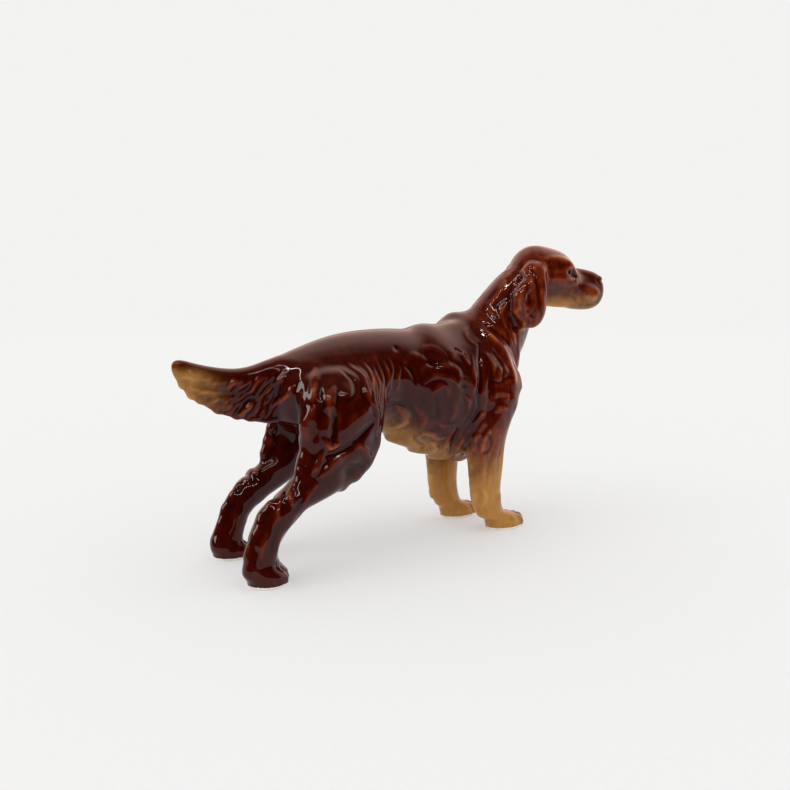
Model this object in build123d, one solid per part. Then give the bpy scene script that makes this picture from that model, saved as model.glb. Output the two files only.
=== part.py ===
from build123d import *
import math
import os

# Glazed porcelain figurine of a standing long-haired gun dog, as its bench pieces before luting.
#
# The dog stands square on four paws with its hind legs stretched back, its head raised and turned a
# little to its right, and its feathered tail held level.  The body is a hollow slip casting; the head
# with the neck, the ears, the tail and the four legs are cast apart and luted on with slip, and the
# glaze is wiped off the sole of each paw before firing.
#
# Millimetres.  +X is the way the dog faces, +Y is its left, +Z is up.

# Driving dimensions
WALL = 3.2                # thickness of the cast wall of the body
SOLE = 1.2                # height of the bare band under each paw
VENT_RADIUS = 1.5         # firing vent in the groin
VENT_X = -2.0
NECK_PASSAGE = (58, 0, 72)  # where the opening between the body's hollow and the neck's starts
NECK_PASSAGE_RADIUS = 5.0
NECK_PASSAGE_LENGTH = 24
HEAD_YAW = -15.0          # degrees the head turns from straight ahead, towards the dog's right
OCCIPUT = (77.0, -1.0)    # x, y where the skull starts
HIND_Y, FORE_Y = 19.0, 13.6   # distance of the hind and fore paws from the middle
LEFT_HIND_PAW_SHIFT = 3.2  # the left hind paw stands this far ahead of the right one
LEFT_FORE_SHIFT = -2.6    # the left foreleg stands this far behind the right one
LEFT_FORE_PAW_SHIFT = -4.6  # and the left fore paw this far
SECTION_HEIGHTS = (0.1, 0.3, 0.5, 0.7, 0.9)  # where a body section's half-widths are given
OVAL_POINTS = 12          # points on each oval section
PLAN = (400, 200)         # length and width of a block that takes in the whole dog

# The body: x, lowest z, highest z, half-widths at SECTION_HEIGHTS
BODY = (
    (-47, 62, 79, (4, 7, 8, 7, 4)),
    (-43, 55, 82.5, (8, 12, 14, 12, 7)),
    (-36, 51, 85, (10, 15.5, 18, 15.5, 9)),
    (-27, 49, 87.8, (11, 17, 20, 17, 10)),
    (-16, 49, 90.2, (10.5, 17.5, 20, 17, 10.5)),
    (-5, 50.5, 91.3, (9, 16, 18.5, 16.5, 10.5)),
    (6, 46.5, 91.5, (8, 14.5, 17.5, 16.5, 11)),
    (18, 39.5, 91.7, (8.5, 16, 19, 17.5, 11)),
    (32, 34.5, 92.6, (9, 17, 20, 18.5, 11)),
    (45, 32, 93.6, (9, 17, 20, 18, 10)),
    (54, 33, 95, (8.5, 16.5, 19, 17, 9.5)),
    (61, 36, 93, (8, 15, 17, 15, 9)),
    (67.5, 42, 88, (7, 12, 14, 12, 8)),
    (72.5, 50, 83, (4.5, 8.5, 10, 9, 5.5)),
    (75.2, 59, 77, (2, 4, 4.5, 4, 2)),
)
# The tail, as the body's sections
TAIL = (
    (-38, 64, 81, (2.5, 4, 5, 5, 4)),
    (-46, 56.5, 81.9, (1.8, 2.6, 3.6, 4.8, 4.4)),
    (-55, 57, 79.6, (1.5, 2.3, 3.1, 4.2, 3.9)),
    (-64, 59.4, 78.8, (1.4, 2.1, 2.8, 3.7, 3.4)),
    (-73, 63.2, 80.2, (1.3, 2, 2.6, 3.3, 3)),
    (-80, 68.8, 82.1, (1.2, 1.8, 2.3, 2.8, 2.5)),
    (-85, 74, 83.4, (1, 1.4, 1.8, 2, 1.7)),
    (-87.5, 78, 82.4, (0.6, 0.9, 1.1, 1.1, 0.9)),
)
# Along the head from the occiput: distance, lowest z, highest z, half-widths at SECTION_HEIGHTS
SKULL = (
    (0, 106, 119, (3, 5, 6, 5.5, 3.5)),
    (4, 102, 124.5, (5, 8.5, 10, 9.5, 6)),
    (10, 100, 127.8, (6, 10, 12, 11.5, 7)),
    (17, 99.5, 127.3, (6, 10, 12.3, 11.8, 7.5)),
    (24, 99.3, 125.6, (5.5, 9, 11, 11.3, 7)),
    (28.5, 98.8, 122.8, (5, 8, 9.5, 9.8, 6)),
    (32, 98.2, 118, (4.8, 7.5, 8.2, 7.5, 4.6)),
    (37, 97.8, 116.4, (4.8, 7.2, 7.4, 6, 3.6)),
    (42, 98, 115.4, (4.8, 7, 7, 5.5, 3.4)),
    (45.5, 99.5, 114, (4.2, 6, 6.2, 5, 3.2)),
    (47.5, 102.5, 112.8, (3, 4.5, 4.8, 4.2, 2.8)),
    (48.5, 105.5, 111, (1.6, 2.5, 2.8, 2.5, 1.6)),
)
# The neck: centre x, y, z, half-depth, half-width; each section is square to NECK_SLOPE
NECK = (
    (57, 0, 74, 19, 14),
    (65, 0, 84.5, 17.5, 13),
    (72.2, -0.7, 94.7, 15.2, 11.3),
    (79.3, -1.8, 106, 12, 10),
    (86, -3, 113.5, 9.5, 9),
)
NECK_SLOPE = 51.0         # degrees the neck rises from level
NECK_HOLLOW = ((66, 0, 86, 9), (73, -0.7, 95, 7.5), (80, -1.8, 106, 6), (89, -4.2, 113, 6))
# An ear: z, distance along the head, distance from its middle, half-length, half-thickness
EAR = (
    (119, 8, 10, 3.5, 2.2),
    (114.5, 6.5, 12, 5.8, 2.8),
    (106, 3.6, 13.6, 7.3, 3),
    (98, 1.8, 14, 8.2, 3),
    (92.5, 1.6, 13.6, 6, 2.6),
    (90.3, 1.6, 13.2, 3, 1.6),
)
# A leg: centre x, distance outwards from the paw, z, half-depth, half-width, and the
# section's slope: degrees that the leg's own line leans forwards at that section
RIGHT_HIND_LEG = (
    (-26, -11, 79, 8, 3, 90),
    (-26, -4.5, 73, 14, 7.5, 90),
    (-26, -1.5, 65, 18, 8.5, 88),
    (-27, -0.8, 56, 17.5, 8.6, 84),
    (-30, -0.4, 47, 15.5, 8, 72),
    (-37, 0, 39.5, 10.8, 7, 55),
    (-45, 0, 32.6, 6.4, 6, 42),
    (-53.8, 0, 27, 5.8, 5.5, 50),
    (-60.5, 0, 19, 5.4, 5, 66),
    (-63.5, 0, 10, 5.7, 5.2, 75),
    (-64, 0, 4, 6, 5.6, 85),
)
LEFT_HIND_LEG = (
    (-22, -11, 79, 8, 3, 90),
    (-21.5, -4.5, 73, 14, 7.5, 90),
    (-21, -1.5, 65, 17, 8.5, 88),
    (-21, -0.8, 56, 16.5, 8.6, 84),
    (-24, -0.4, 47, 14, 8, 72),
    (-31, 0, 38.5, 9.6, 7, 55),
    (-40, 0, 31, 6.6, 6, 40),
    (-49.3, 0, 25, 6, 5.5, 50),
    (-55.5, 0, 17, 5.3, 5, 66),
    (-59, 0, 9, 5.5, 5.2, 75),
    (-60.5, 0, 4, 5.8, 5.6, 85),
)
FORE_LEG = (
    (58, -7, 76, 7, 4, 98),
    (57.5, -1, 68, 11.5, 7.3, 98),
    (54.8, 0.8, 54, 11.5, 7.4, 97),
    (51, 0.8, 43, 10.2, 6.8, 94),
    (50.8, 0.2, 33, 9.2, 5.6, 90),
    (51, 0, 22, 8.1, 5, 90),
    (52, 0, 13, 7.6, 5, 86),
    (55.5, 0, 5, 7.2, 5.4, 80),
)
# A paw: z, centre x, half-length, half-width
HIND_PAW = (
    (0, -60.5, 7, 6.2),
    (2, -60.3, 7.6, 6.9),
    (4.5, -61.3, 7.2, 6.7),
    (7.5, -63.2, 5.6, 5.6),
)
FORE_PAW = (
    (0, 63, 9.4, 6),
    (2, 63, 10, 6.7),
    (4.5, 61.8, 9, 6.5),
    (7.5, 58.6, 6.4, 5.4),
)


def upright_section(low, high, widths, plane):
    """A closed section, symmetrical about the plane's y axis, from its lowest to its highest z."""
    side = [(w, low + (high - low) * share) for w, share in zip(widths, SECTION_HEIGHTS)]
    left = [(-w, z) for w, z in reversed(side)]
    outline = Spline([(0, low), *side, (0, high), *left], periodic=True)
    return plane * make_face(outline)


def across_x(x):
    """The plane square to +X at x, with its own x axis along +Y and its own y axis up."""
    return Plane(origin=(x, 0, 0), x_dir=(0, 1, 0), z_dir=(1, 0, 0))


def along_head(distance):
    """The plane square to the head's line, that far from the occiput."""
    yaw = math.radians(HEAD_YAW)
    ahead = (math.cos(yaw), math.sin(yaw), 0)
    origin = (OCCIPUT[0] + distance * ahead[0], OCCIPUT[1] + distance * ahead[1], 0)
    return Plane(origin=origin, x_dir=(-ahead[1], ahead[0], 0), z_dir=ahead)


def oval(half_length, half_width):
    """A closed curve round an ellipse, with its first point on the +x axis."""
    turns = [2 * math.pi * i / OVAL_POINTS for i in range(OVAL_POINTS)]
    points = [(half_length * math.cos(t), half_width * math.sin(t)) for t in turns]
    return make_face(Spline(points, periodic=True))


def limb_section(x, y, z, half_depth, half_width, slope):
    """An oval across a limb whose line rises at slope degrees, in the XZ plane."""
    lean = math.radians(slope)
    line = (math.cos(lean), 0, math.sin(lean))
    across = (math.sin(lean), 0, -math.cos(lean))
    return Plane(origin=(x, y, z), x_dir=across, z_dir=line) * oval(half_depth, half_width)


def flat_section(x, y, z, half_length, half_width, turn=0):
    """A level oval at height z."""
    return Pos(x, y, z) * Rot(0, 0, turn) * oval(half_length, half_width)


def body_loft(inset=0):
    """The torso; with an inset, the hollow inside it."""
    rows = BODY[1:-1] if inset else BODY
    return loft([
        upright_section(low + inset, high - inset, [w - min(inset, w / 2) for w in widths], across_x(x))
        for x, low, high, widths in rows
    ])


def neck_and_skull():
    """The neck and the head, as one solid that reaches into the torso."""
    neck = loft([limb_section(x, y, z, deep, wide, NECK_SLOPE) for x, y, z, deep, wide in NECK])
    skull = loft([upright_section(low, high, widths, along_head(s)) for s, low, high, widths in SKULL])
    return neck + skull


def neck_hollow():
    """The hollow of the neck and skull, and the passage that joins it to the torso's."""
    rooms = loft([limb_section(x, y, z, r, r, NECK_SLOPE) for x, y, z, r in NECK_HOLLOW])
    passage = limb_section(*NECK_PASSAGE, NECK_PASSAGE_RADIUS, NECK_PASSAGE_RADIUS, NECK_SLOPE)
    lean = math.radians(NECK_SLOPE)
    return rooms + extrude(passage, amount=NECK_PASSAGE_LENGTH, dir=(math.cos(lean), 0, math.sin(lean)))


def ear(side):
    """One ear; side is +1 for the left and -1 for the right."""
    sections = []
    for z, along, out, half_length, half_thick in EAR:
        at = along_head(along).origin + along_head(along).x_dir * (side * out)
        sections.append(flat_section(at.X, at.Y, z, half_length, half_thick, HEAD_YAW))
    return loft(sections)


def leg(rows, paw_rows, side, paw_y, shift=0, paw_shift=0):
    """One leg with its paw, reaching up into the torso."""
    shaft = loft([
        limb_section(x + shift, side * (paw_y + out), z, deep, wide, slope)
        for x, out, z, deep, wide, slope in rows
    ])
    paw = loft([flat_section(x + paw_shift, side * paw_y, z, a, b) for z, x, a, b in paw_rows])
    above_ground = Box(*PLAN, 200, align=(Align.CENTER, Align.CENTER, Align.MIN))
    return (shaft & above_ground) + paw


def split_sole(whole):
    """A leg without its bare sole, and the sole."""
    band = Box(*PLAN, SOLE, align=(Align.CENTER, Align.CENTER, Align.MIN))
    return whole - band, whole & band


torso = body_loft()
head_solid = neck_and_skull()
hollow = neck_hollow()
vent = Pos(VENT_X, 0, 40) * Cylinder(VENT_RADIUS, 30)

pieces = {
    "body": torso - body_loft(WALL) - hollow - vent,
    "head": head_solid - torso - hollow,
    "tail": loft([upright_section(low, high, w, across_x(x)) for x, low, high, w in TAIL]) - torso,
}
legs = {
    "right_hind": leg(RIGHT_HIND_LEG, HIND_PAW, -1, HIND_Y),
    "left_hind": leg(LEFT_HIND_LEG, HIND_PAW, 1, HIND_Y, 0, LEFT_HIND_PAW_SHIFT),
    "right_fore": leg(FORE_LEG, FORE_PAW, -1, FORE_Y),
    "left_fore": leg(FORE_LEG, FORE_PAW, 1, FORE_Y, LEFT_FORE_SHIFT, LEFT_FORE_PAW_SHIFT),
}
for name, whole in legs.items():
    upper, pieces[f"{name}_sole"] = split_sole(whole)
    pieces[f"{name}_leg"] = upper - torso - head_solid
for side, name in ((-1, "right"), (1, "left")):
    pieces[f"{name}_ear"] = ear(side) - head_solid - torso

box = Compound(list(pieces.values())).bounding_box()
to_frame = Pos(-box.center().X, -box.center().Y, -box.min.Z)
os.makedirs("parts", exist_ok=True)
for name, piece in pieces.items():
    export_step(to_frame * piece, f"parts/{name}.step")
print("size", box.size, "moved by", (-box.center().X, -box.center().Y, -box.min.Z))
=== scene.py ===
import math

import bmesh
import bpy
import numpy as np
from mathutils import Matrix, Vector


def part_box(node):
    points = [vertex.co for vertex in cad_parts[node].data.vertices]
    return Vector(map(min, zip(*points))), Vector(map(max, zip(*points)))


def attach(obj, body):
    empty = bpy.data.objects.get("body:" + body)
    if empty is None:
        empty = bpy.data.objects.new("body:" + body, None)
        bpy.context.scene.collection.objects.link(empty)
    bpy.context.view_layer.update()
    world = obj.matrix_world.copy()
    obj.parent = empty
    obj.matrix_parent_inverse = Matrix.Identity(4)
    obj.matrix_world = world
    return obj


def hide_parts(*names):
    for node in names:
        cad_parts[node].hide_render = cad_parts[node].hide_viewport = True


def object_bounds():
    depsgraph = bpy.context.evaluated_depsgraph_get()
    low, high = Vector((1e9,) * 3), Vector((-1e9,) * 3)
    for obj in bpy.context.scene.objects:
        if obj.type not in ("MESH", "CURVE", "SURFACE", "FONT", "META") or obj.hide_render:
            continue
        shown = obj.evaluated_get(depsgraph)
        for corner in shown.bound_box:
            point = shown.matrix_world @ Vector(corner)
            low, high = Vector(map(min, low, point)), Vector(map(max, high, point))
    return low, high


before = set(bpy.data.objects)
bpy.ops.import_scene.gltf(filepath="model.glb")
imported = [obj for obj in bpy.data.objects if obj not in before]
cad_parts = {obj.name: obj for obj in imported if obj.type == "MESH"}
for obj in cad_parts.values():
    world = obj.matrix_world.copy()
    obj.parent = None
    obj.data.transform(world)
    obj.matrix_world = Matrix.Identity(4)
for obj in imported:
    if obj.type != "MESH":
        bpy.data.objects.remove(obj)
cad_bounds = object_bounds()

# The glazed porcelain setter: its modelled coat, its glaze, and a plain studio around it.
#
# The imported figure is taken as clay: its solids become one signed-distance field, the coat is
# modelled into that field with brush strokes, and the skin of the field is cut back into the
# figure's own pieces. Strokes are in millimetres in the figure's frame: +X is the way the dog
# faces, +Y its left, +Z up, and an (x, z) pair is a point on the side of the dog.

import openvdb
from mathutils import Vector

MM = 0.001
RIGHT, LEFT = SIDES = (-1, 1)

# Camera: the eye and what it looks at, and the lens for a 36 mm wide frame
EYE = (-0.2170, -0.2905, 0.1096)
AIM = (0.0019, 0.0129, 0.0610)
LENS = 38.6

# Strokes measure x from midway between the right paws, which the end of the tail gives
TAIL_END_X = -87.5
DATUM = np.array((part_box("tail")[0].x / MM - TAIL_END_X, 0, 0), np.float32)

# Clay
VOXEL = 0.45   # mm
MARGIN = 5.0                          # mm of empty grid round the figure
BAND = 12                             # voxels either side of a surface where distances are known
CORE_DEPTH = 2.0                      # mm of the cast wall that is left as it is when a hollow fills
VENT_X, VENT_RADIUS = -2.0, 1.5       # mm, the casting vent under the belly
VENT_PLUG_RADIUS = 3.0                # mm, what closes the vent while the hollow is filled
JOINT, TAIL_JOINT = 5.0, 3.0          # mm over which slip smooths the joints of the big castings
EAR_JOINT, SOLE_JOINT = 2.5, 1.0      # mm, the same for the ears and soles
SLIP_BLUR, GLAZE_BLUR = 1.0, 0.4      # mm over which slip, and then glaze, softens the skin
SOLE_TOP = 1.2                        # mm, where the glaze ends above the table
SOLE_LEDGE = 0.2                      # mm the bare sole stands out past the glaze
HALF_WIDTH = 27.6                     # mm the coat may reach out to either side

# The figure's own castings
LEGS = ("left_fore", "right_fore", "left_hind", "right_hind")
LEG_NODES = [f"{leg}_leg" for leg in LEGS]
SOLE_NODES = [f"{leg}_sole" for leg in LEGS]
EAR_NODES = ["left_ear", "right_ear"]
GLAZED = ["body", "head", *EAR_NODES, "tail", *LEG_NODES]


def smooth_min(a, b, k):
    """The smaller of two distances, rounded over where they are within k of each other."""
    h = np.maximum(k - np.abs(a - b), 0) / k
    return np.minimum(a, b) - h * h * k * 0.25


def blur(field, sigma):
    """A Gaussian blur of a 3-D array; sigma is in cells."""
    reach = max(1, int(math.ceil(2.5 * sigma)))
    weights = np.exp(-0.5 * (np.arange(-reach, reach + 1) / sigma) ** 2)
    weights /= weights.sum()
    for axis in range(3):
        padding = [(reach, reach) if a == axis else (0, 0) for a in range(3)]
        padded = np.pad(field, padding, mode="edge")
        out = np.zeros_like(field)
        for i, weight in enumerate(weights):
            part = [slice(i, i + field.shape[a]) if a == axis else slice(None) for a in range(3)]
            out += np.float32(weight) * padded[tuple(part)]
        field = out
    return field


def chain_distance(axes, path, radii):
    """Distance from each grid point to a chain of round cones through the path's points."""
    x, y, z = axes
    best = None
    for i in range(len(path) - 1):
        a, b = path[i], path[i + 1]
        step = b - a
        length2 = max(float(step @ step), 1e-9)
        dx, dy, dz = x - a[0], y - a[1], z - a[2]
        t = np.clip((dx * step[0] + dy * step[1] + dz * step[2]) / length2, 0, 1)
        gap = np.sqrt((dx - t * step[0]) ** 2 + (dy - t * step[1]) ** 2 + (dz - t * step[2]) ** 2)
        gap -= radii[i] + (radii[i + 1] - radii[i]) * t
        best = gap if best is None else np.minimum(best, gap)
    return best


def curve_through(points, steps=4):
    """A smooth path through the points (Catmull-Rom)."""
    p = np.array(points, float)
    if len(p) < 3:
        return p
    p = np.vstack([2 * p[0] - p[1], p, 2 * p[-1] - p[-2]])
    out = []
    for i in range(1, len(p) - 2):
        a, b, c, d = p[i - 1], p[i], p[i + 1], p[i + 2]
        for s in range(steps):
            t = s / steps
            out.append(0.5 * (2 * b + (c - a) * t + (2 * a - 5 * b + 4 * c - d) * t * t
                              + (3 * b - a - 3 * c + d) * t ** 3))
    out.append(p[-2])
    return np.array(out)


class Clay:
    """A block of clay: signed distances on a grid, negative inside, in millimetres."""

    def __init__(self, low, high):
        low, high = (np.array(corner) / MM - DATUM for corner in (low, high))
        self.low = np.floor((low - MARGIN) / VOXEL)
        self.count = (np.ceil((high + MARGIN) / VOXEL) - self.low).astype(int) + 1
        self.first = self.low.astype(int)
        self.low = self.low * VOXEL
        self.field = self.empty()

    def empty(self):
        return np.full(self.count, BAND * VOXEL, np.float32)

    def window(self, low, high):
        """The part of the grid between two corners: its slices and its coordinates."""
        first = np.clip(np.floor((np.array(low) - self.low) / VOXEL), 0, self.count - 1).astype(int)
        last = np.clip(np.ceil((np.array(high) - self.low) / VOXEL) + 1, 1, self.count).astype(int)
        slices = tuple(slice(f, l) for f, l in zip(first, last))
        x, y, z = (self.low[a] + VOXEL * np.arange(first[a], last[a], dtype=np.float32) for a in range(3))
        return slices, (x[:, None, None], y[None, :, None], z[None, None, :])

    def of_mesh(self, mesh_object):
        """The distance field of one solid."""
        mesh = mesh_object.data
        mesh.calc_loop_triangles()
        points = np.empty(len(mesh.vertices) * 3, np.float32)
        mesh.vertices.foreach_get("co", points)
        triangles = np.empty(len(mesh.loop_triangles) * 3, np.int32)
        mesh.loop_triangles.foreach_get("vertices", triangles)
        grid = openvdb.FloatGrid.createLevelSetFromPolygons(
            points.reshape(-1, 3) / MM - DATUM, triangles=triangles.reshape(-1, 3).astype(np.uint32),
            transform=openvdb.createLinearTransform(voxelSize=VOXEL), halfWidth=BAND)
        out = self.empty()
        grid.copyToArray(out, ijk=tuple(int(i) for i in self.first))
        return out

    def fill_hollow(self):
        """Fills what the clay encloses on all six sides."""
        inside = self.field < 0
        closed = np.zeros(inside.shape, np.int8)
        for axis in range(3):
            closed += np.logical_or.accumulate(inside, axis=axis)
            flipped = np.flip(inside, axis)
            closed += np.flip(np.logical_or.accumulate(flipped, axis=axis), axis)
        core = (closed == 6) & ~inside
        for _ in range(int(CORE_DEPTH / VOXEL)):
            grown = core.copy()
            for axis in range(3):
                grown |= np.roll(core, 1, axis) | np.roll(core, -1, axis)
            core = grown
        self.field[core] = np.minimum(self.field[core], -CORE_DEPTH)

    def near(self, path, reach):
        return self.window(path.min(0) - reach, path.max(0) + reach)

    def roll(self, points, radii, blend):
        """Distances from a roll along the points, its radii spread evenly, in its part of the grid."""
        path = curve_through(points)
        radii = np.interp(np.linspace(0, 1, len(path)), np.linspace(0, 1, len(radii)), radii)
        part, axes = self.near(path, radii.max() + blend + 1)
        return part, chain_distance(axes, path, radii)

    def lay(self, points, radii, blend):
        """Adds a roll of clay along the points."""
        part, gap = self.roll(points, radii, blend)
        self.field[part] = smooth_min(self.field[part], gap, blend)

    def carve(self, points, radii, blend):
        """Takes a roll of clay away along the points."""
        part, gap = self.roll(points, radii, blend)
        self.field[part] = -smooth_min(-self.field[part], gap, blend)

    def swell(self, points, radius, height, sharp=2.0, taper=0.0, steps=4):
        """Raises the skin by height along the points, fading out at radius; a negative height sinks it."""
        path = curve_through(points, steps)
        part, axes = self.near(path, radius + 1)
        along = np.linspace(0, 1, len(path))
        widths = radius * (1 - taper * np.abs(2 * along - 1) ** 2)
        gap = chain_distance(axes, path, widths) / radius + 1
        fade = np.clip(1 - gap, 0, 1)
        profile = (fade * fade * (3 - 2 * fade)) if sharp == 2 else fade ** sharp
        self.field[part] -= (height * profile).astype(np.float32)

    def skin_y(self, x, z, side):
        """The y of the outermost skin of the dog's side at (x, z)."""
        i, k = (int(round(v)) for v in ((x - self.low[0]) / VOXEL, (z - self.low[2]) / VOXEL))
        column = self.field[i, :, k]
        inside = np.nonzero(column < 0)[0]
        if len(inside) == 0:
            j = int(np.argmin(column))
            return self.low[1] + VOXEL * j
        j = inside[-1] if side > 0 else inside[0]
        out = j + side
        part = column[j] / (column[j] - column[out])
        return self.low[1] + VOXEL * (j + side * part)

    def on_side(self, pairs, side):
        """Points on the skin of one side, from (x, z) pairs."""
        return np.array([(x, self.skin_y(x, z, side), z) for x, z in pairs])

    def touch(self, start, heading, reach=25.0):
        """Where a line from start first meets the skin."""
        heading = np.array(heading) / np.linalg.norm(heading)
        steps = np.arange(0, reach, 0.5 * VOXEL)
        line = np.array(start) + steps[:, None] * heading
        inside = np.nonzero(self.sample(self.field, line) < 0)[0]
        return line[inside[0]] if len(inside) else line[-1]

    def normals(self, points):
        """Outward directions at points."""
        out = np.zeros_like(points)
        for axis in range(3):
            step = np.zeros(3)
            step[axis] = VOXEL
            out[:, axis] = self.sample(self.field, points + step) - self.sample(self.field, points - step)
        return out / np.maximum(np.linalg.norm(out, axis=1, keepdims=True), 1e-6)

    def press(self, pairs, side, width, height, sharp=2.0, taper=0.5):
        """A soft ridge (or valley, where height is negative) on one side, through (x, z) pairs."""
        path = self.on_side(curve_through(pairs), side)
        self.swell(path, width / 2, height, sharp, taper, steps=1)

    def side_lock(self, pairs, side, radius, proud, blend):
        """A lock of hair on one side: a roll of clay, thickest in its middle, half buried in the skin."""
        path = self.on_side(curve_through(pairs), side)
        along = np.linspace(0, 1, len(path))
        swell = np.sin(np.pi * np.clip(along * 0.92 + 0.08, 0, 1)) ** 0.7
        radii = 0.25 + (radius - 0.25) * swell
        centre = path + self.normals(path) * (proud * swell - radii)[:, None]
        part, axes = self.near(centre, radius + blend + 1)
        self.field[part] = smooth_min(self.field[part], chain_distance(axes, centre, radii), blend)

    def skin(self):
        """The vertices and quads of the clay's skin."""
        grid = openvdb.FloatGrid(BAND * VOXEL)
        grid.copyFromArray(self.field, tolerance=0)
        grid.gridClass = openvdb.GridClass.LEVEL_SET
        points, quads = grid.convertToQuads(isovalue=0)
        return points * VOXEL + self.low, quads[:, ::-1].astype(np.int32)

    def sample(self, field, points):
        """Values of a field at points, by linear interpolation."""
        g = (points - self.low) / VOXEL
        i = np.clip(np.floor(g).astype(int), 0, np.array(field.shape) - 2)
        f = (g - i).astype(np.float32)
        total = np.zeros(len(points), np.float32)
        for dx in (0, 1):
            for dy in (0, 1):
                for dz in (0, 1):
                    weight = (np.abs(1 - dx - f[:, 0]) * np.abs(1 - dy - f[:, 1])
                              * np.abs(1 - dz - f[:, 2]))
                    total += weight * field[i[:, 0] + dx, i[:, 1] + dy, i[:, 2] + dz]
        return total


def add_object(name, data):
    """A new object in the scene."""
    new = bpy.data.objects.new(name, data)
    bpy.context.scene.collection.objects.link(new)
    return new


def make_camera():
    data = bpy.data.cameras.new("camera")
    data.lens = LENS
    data.sensor_width = 36.0
    data.clip_start = 0.01
    camera = add_object("camera", data)
    camera.location = EYE
    direction = Vector(AIM) - Vector(EYE)
    camera.rotation_euler = direction.to_track_quat("-Z", "Y").to_euler()
    bpy.context.scene.camera = camera


make_camera()
clay = Clay(*cad_bounds)
parts = {name: clay.of_mesh(node) for name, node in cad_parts.items()}


def join_parts():
    """Joins the castings with slip, the ears and soles last, and fills the figure's hollows."""
    clay.field = parts["body"]
    for name in ("head", "tail", *LEG_NODES):
        clay.field = smooth_min(clay.field, parts[name], TAIL_JOINT if name == "tail" else JOINT)
    clay.lay([(VENT_X, 0, 53), (VENT_X, 0, 82)], (VENT_PLUG_RADIUS, VENT_PLUG_RADIUS), 0.1)
    clay.fill_hollow()
    clay.field = blur(clay.field, SLIP_BLUR / VOXEL)
    for name in (*EAR_NODES, *SOLE_NODES):
        clay.field = smooth_min(clay.field, parts[name], EAR_JOINT if name in EAR_NODES else SOLE_JOINT)


def mirrored(points, side):
    """The points with their y on that side."""
    return [(x, side * y, z) for x, y, z in points]


def wavy(pairs, swing, waves, phase, count=13):
    """A path through (x, z) pairs that sways from side to side."""
    path = curve_through(pairs, 6)
    along = np.linspace(0, 1, len(path))
    path = np.stack([np.interp(np.linspace(0, 1, count), along, path[:, a]) for a in (0, 1)], 1)
    heading = np.gradient(path, axis=0)
    heading /= np.linalg.norm(heading, axis=1, keepdims=True)
    sway = swing * np.sin(2 * math.pi * waves * np.linspace(0, 1, count) + phase)
    return path + sway[:, None] * np.stack([-heading[:, 1], heading[:, 0]], 1)


# The tail's edges, x and z
TAIL_TOP = ((-87.5, 82.2), (-80, 82), (-73, 80.3), (-64, 78.9), (-52, 79.7), (-44, 82), (-35, 84.7))
TAIL_LOW = ((-87.5, 79.5), (-84, 73.4), (-80.5, 69.8), (-76.5, 66.4), (-69, 62), (-61, 59.2),
            (-52, 57.8), (-42, 57))
TAIL_LOCKS = 12


def edge(line, x):
    """The z of a line of (x, z) pairs at x."""
    return np.interp(x, *zip(*line))


def model_tail(rng):
    """The feathering: slanting locks under a smooth round tail, with a ragged lower edge."""
    for i in range(TAIL_LOCKS):
        x = -41 - 38.5 * i / (TAIL_LOCKS - 1) + rng.uniform(-0.6, 0.6)
        end_x = max(x - rng.uniform(6.5, 9.0), -86.0)
        low = edge(TAIL_LOW, end_x)
        if i % 2:
            continue
        clay.lay([(x - 3.5, 0, edge(TAIL_TOP, x) - 11), (x - 5, 0, low + 4.5), (end_x, 0, low + 1.2)],
                 (1.8, 2.4, 1.3), 1.6)
    for side in SIDES:
        for row, (drop, reach) in enumerate(((4.4, 0.55), (9.5, 0.85), (13.5, 1.0))):
            for i in range(TAIL_LOCKS + 2):
                x = -39.5 - 40 * (i + 0.5 * (row % 2)) / (TAIL_LOCKS + 1) + rng.uniform(-0.7, 0.7)
                top, low = edge(TAIL_TOP, x), edge(TAIL_LOW, x - 5)
                start = max(top - drop, low + 2.5)
                end_x = max(x - rng.uniform(5, 7.5), -85.5)
                end = edge(TAIL_TOP, end_x) + reach * (edge(TAIL_LOW, end_x) - edge(TAIL_TOP, end_x)) + 0.6
                middle = (0.45 * x + 0.55 * end_x, 0.45 * start + 0.55 * end)
                path = wavy([(x, start), middle, (end_x, end)], 0.35, 1.0, rng.uniform(0, 6), 9)
                if x > -43.5:
                    continue
                fine_tip = 1 - 0.55 * np.clip((-66 - x) / 14, 0, 1)
                radius = fine_tip * rng.uniform(1.1, 1.6)
                proud = fine_tip * rng.uniform(0.45, 0.75)
                clay.side_lock(path, side, radius, proud, 0.45)


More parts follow.
